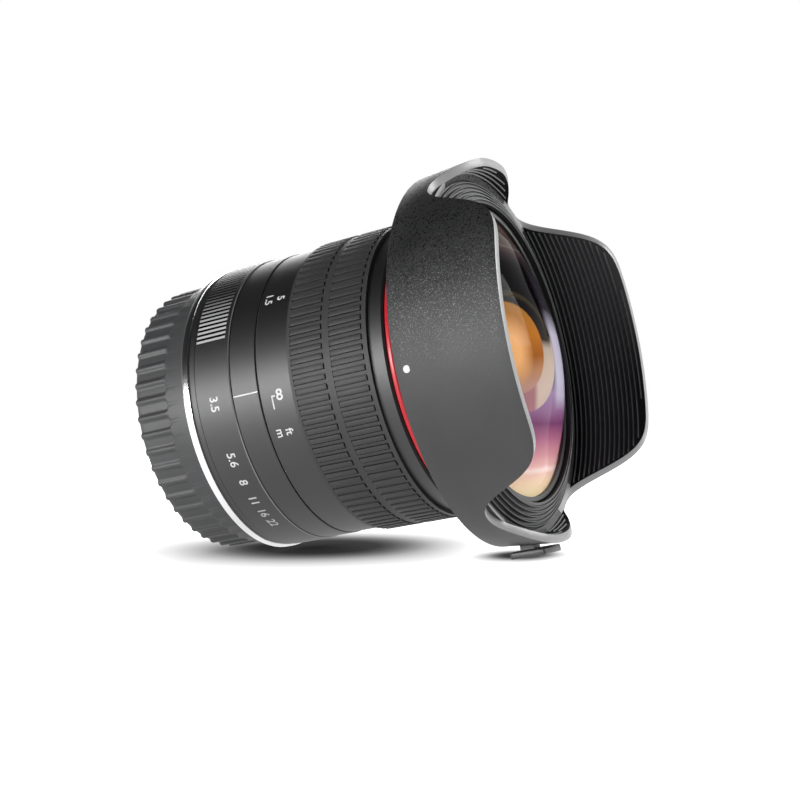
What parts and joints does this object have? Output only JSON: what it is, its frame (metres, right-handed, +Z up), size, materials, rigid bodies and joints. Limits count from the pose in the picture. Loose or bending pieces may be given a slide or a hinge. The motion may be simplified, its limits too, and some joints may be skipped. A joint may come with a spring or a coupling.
{
  "type": "fisheye lens",
  "caption": "Manual fisheye camera lens with knurled aperture ring, rubber-gripped focus ring, bulging front glass, petal hood and ribbed rear cap.",
  "frame": {"origin": "on the optical axis at the mount flange's rear face", "axes": "+X along the optical axis towards the front glass, +Z up away from the hood's release button, index line and scales facing -Y"},
  "size_m": [0.0928, 0.0854, 0.0853],
  "materials": {
    "cap_plastic": "fine matte",
    "bright_metal": "turned and polished",
    "black_metal": "satin black anodised",
    "inner_metal": "matte black anodised",
    "grip_rubber": "moulded bars, matte",
    "red_enamel": "gloss",
    "hood_plastic": "fine speckled grain",
    "baffle_plastic": "matte black",
    "coated_glass": "multi-coated, polished",
    "inner_glass": "coated, polished",
    "steel": "plain",
    "blade_steel": "blackened",
    "brass": "plain",
    "white_paint": "matte"
  },
  "bodies": {
    "barrel": {"mount_flange": "bright_metal", "mount_screws": "steel", "rear_baffle": "baffle_plastic", "base_ring": "black_metal", "click_ball": "steel", "index_ring": "black_metal", "main_tube": "inner_metal", "guide_pin": "brass", "front_barrel": "inner_metal", "barrel_set_screws": "steel", "red_ring": "red_enamel", "stepped_ring": "baffle_plastic"},
    "aperture_ring": {"aperture_ring": "black_metal", "aperture_drive_pin": "steel"},
    "focus_ring": {"focus_ring": "black_metal", "focus_cam_pins": "brass", "focus_grip": "grip_rubber"},
    "optical_unit": {"front_cell": "inner_metal", "front_element": "coated_glass", "front_bezel": "inner_metal", "second_element": "inner_glass", "inner_retaining_ring": "inner_metal", "inner_spacer": "inner_metal", "third_element": "inner_glass", "iris_housing": "inner_metal", "rear_cell": "inner_metal", "cell_screws": "steel", "pair_front_element": "inner_glass", "pair_rear_element": "inner_glass", "pair_retaining_ring": "inner_metal", "rear_element": "inner_glass", "rear_retaining_ring": "inner_metal"},
    "iris_drive": {"iris_drive_ring": "brass"},
    "hood": {"petal_hood": "hood_plastic", "hood_index_dot": "white_paint"},
    "hood_release": {"hood_release_button": "hood_plastic"},
    "rear_cap": {"rear_cap": "cap_plastic"},
    "blade_1": {"iris_blade_1": "blade_steel"},
    "blade_2": {"iris_blade_2": "blade_steel"},
    "blade_3": {"iris_blade_3": "blade_steel"},
    "blade_4": {"iris_blade_4": "blade_steel"},
    "blade_5": {"iris_blade_5": "blade_steel"},
    "blade_6": {"iris_blade_6": "blade_steel"}
  },
  "joints": [
    {"name": "aperture_turn", "type": "hinge", "parent": "barrel", "child": "aperture_ring", "pos_m": [0, 0, 0], "axis": [1, 0, 0], "range_deg": [-55.4, 0]},
    {"name": "focus_turn", "type": "hinge", "parent": "barrel", "child": "focus_ring", "pos_m": [0, 0, 0], "axis": [1, 0, 0], "range_deg": [0, 120]},
    {"name": "focus_slide", "type": "slide", "parent": "barrel", "child": "optical_unit", "axis": [1, 0, 0], "range_m": [0, 0.0003]},
    {"name": "iris_turn", "type": "hinge", "parent": "optical_unit", "child": "iris_drive", "pos_m": [0, 0, 0], "axis": [1, 0, 0], "range_deg": [-55.4, 0]},
    {"name": "hood_twist", "type": "hinge", "parent": "barrel", "child": "hood", "pos_m": [0, 0, 0], "axis": [1, 0, 0], "range_deg": [0, 60]},
    {"name": "hood_release_slide", "type": "slide", "parent": "hood", "child": "hood_release", "axis": [1, 0, 0], "range_m": [0, 0.0025], "stiffness_N_per_m": 500, "springref_m": -0.002},
    {"name": "cap_twist", "type": "hinge", "parent": "barrel", "child": "rear_cap", "pos_m": [0, 0, 0], "axis": [1, 0, 0], "range_deg": [-60, 0]},
    {"name": "blade_1_turn", "type": "hinge", "parent": "optical_unit", "child": "blade_1", "pos_m": [0.04, -0.00775, 0.01342], "axis": [1, 0, 0], "range_deg": [-32.3, 0]},
    {"name": "blade_2_turn", "type": "hinge", "parent": "optical_unit", "child": "blade_2", "pos_m": [0.04, -0.0155, 0], "axis": [1, 0, 0], "range_deg": [-32.3, 0]},
    {"name": "blade_3_turn", "type": "hinge", "parent": "optical_unit", "child": "blade_3", "pos_m": [0.04, -0.00775, -0.01342], "axis": [1, 0, 0], "range_deg": [-32.3, 0]},
    {"name": "blade_4_turn", "type": "hinge", "parent": "optical_unit", "child": "blade_4", "pos_m": [0.04, 0.00775, -0.01342], "axis": [1, 0, 0], "range_deg": [-32.3, 0]},
    {"name": "blade_5_turn", "type": "hinge", "parent": "optical_unit", "child": "blade_5", "pos_m": [0.04, 0.0155, 0], "axis": [1, 0, 0], "range_deg": [-32.3, 0]},
    {"name": "blade_6_turn", "type": "hinge", "parent": "optical_unit", "child": "blade_6", "pos_m": [0.04, 0.00775, 0.01342], "axis": [1, 0, 0], "range_deg": [-32.3, 0]}
  ],
  "couplings": [
    {"joint": "focus_turn", "follows": "focus_slide", "rad_per_m": 6981},
    {"joint": "iris_turn", "follows": "aperture_turn", "ratio": 1},
    {"joint": "blade_1_turn", "follows": "aperture_turn", "ratio": 0.583},
    {"joint": "blade_2_turn", "follows": "aperture_turn", "ratio": 0.583},
    {"joint": "blade_3_turn", "follows": "aperture_turn", "ratio": 0.583},
    {"joint": "blade_4_turn", "follows": "aperture_turn", "ratio": 0.583},
    {"joint": "blade_5_turn", "follows": "aperture_turn", "ratio": 0.583},
    {"joint": "blade_6_turn", "follows": "aperture_turn", "ratio": 0.583}
  ]
}
